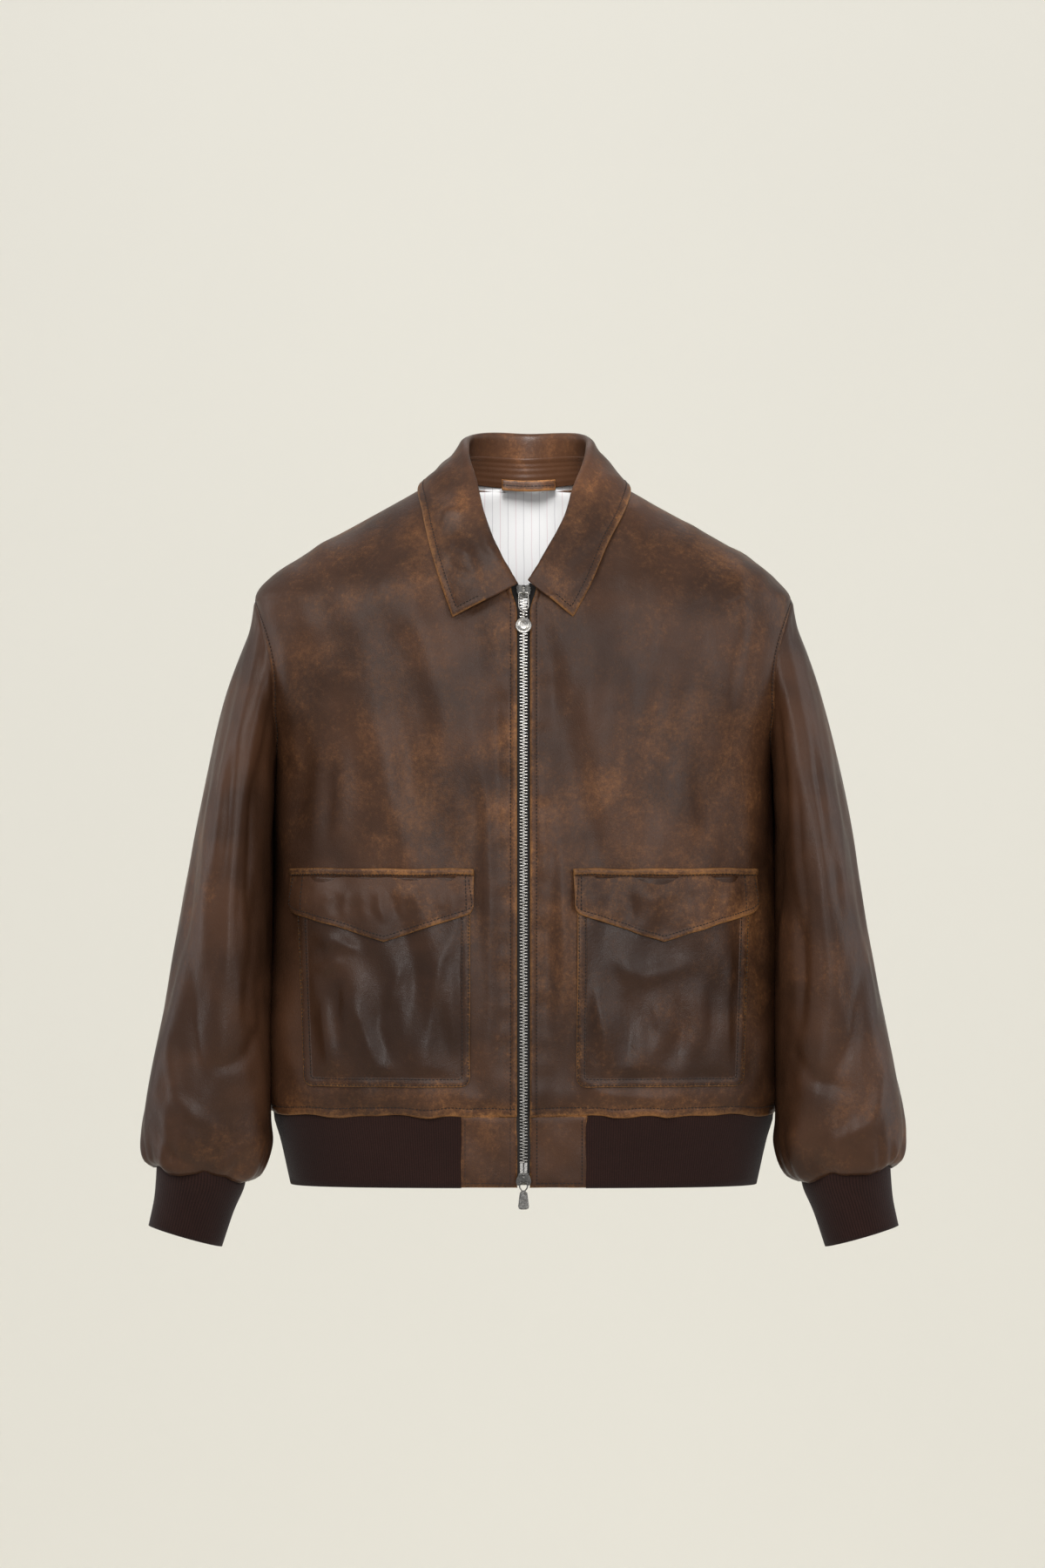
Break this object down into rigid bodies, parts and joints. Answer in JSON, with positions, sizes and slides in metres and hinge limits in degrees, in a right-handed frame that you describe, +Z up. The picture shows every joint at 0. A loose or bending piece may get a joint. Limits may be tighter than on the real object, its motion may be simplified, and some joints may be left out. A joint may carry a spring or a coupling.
{
  "type": "worn leather jacket",
  "caption": "Hollow, filled-out aged leather flight jacket with shirt collar, two-way zip, flapped patch pockets, ribbed hem and cuffs.",
  "frame": {"origin": "on the wearer's shoulders, in the mid-plane, level with the base of the neck", "axes": "+Z up; the front of the jacket faces -Y; +X is the wearer's left"},
  "size_m": [0.7252, 0.2369, 0.7751],
  "materials": {
    "leather": "aged dark brown leather, amber where it has rubbed, fine grain, semi-gloss",
    "pocket_leather": "the same leather, darker and glossier",
    "rib_knit": "dark maroon-brown wool rib knit, matt",
    "lining": "off-white woven lining with thin grey and pink pinstripes",
    "zip_tape": "black woven zip tape",
    "zip_metal": "nickel-plated teeth, sliders and pulls",
    "thread": "dark brown topstitching thread"
  },
  "bodies": {
    "jacket": {"front_left": "leather", "front_right": "leather", "back": "leather", "sleeve_left": "leather", "sleeve_right": "leather", "hem_tab_left": "leather", "hem_tab_right": "leather", "collar": "leather", "collar_stand": "leather", "hanger_loop": "leather", "flap_left": "leather", "flap_right": "leather", "flap_band_left": "leather", "flap_band_right": "leather", "pocket_left": "pocket_leather", "pocket_right": "pocket_leather", "pocket_edge_left": "pocket_leather", "pocket_edge_right": "pocket_leather", "cuff_left": "rib_knit", "cuff_right": "rib_knit", "hem_rib": "rib_knit", "lining_back": "lining", "zip_tape_left": "zip_tape", "zip_tape_right": "zip_tape", "zip_teeth_left": "zip_metal", "zip_teeth_right": "zip_metal", "slider_top": "zip_metal", "slider_bottom": "zip_metal"},
    "top_pull": {"pull_top": "zip_metal"},
    "bottom_pull": {"pull_bottom": "zip_metal"}
  },
  "joints": [
    {"name": "top_pull_swing", "type": "hinge", "parent": "jacket", "child": "top_pull", "pos_m": [0, -0.10933, -0.09514], "axis": [-1, 0, 0], "range_deg": [0, 120]},
    {"name": "bottom_pull_swing", "type": "hinge", "parent": "jacket", "child": "bottom_pull", "pos_m": [0, -0.10883, -0.64954], "axis": [-1, 0, 0], "range_deg": [0, 140]}
  ]
}
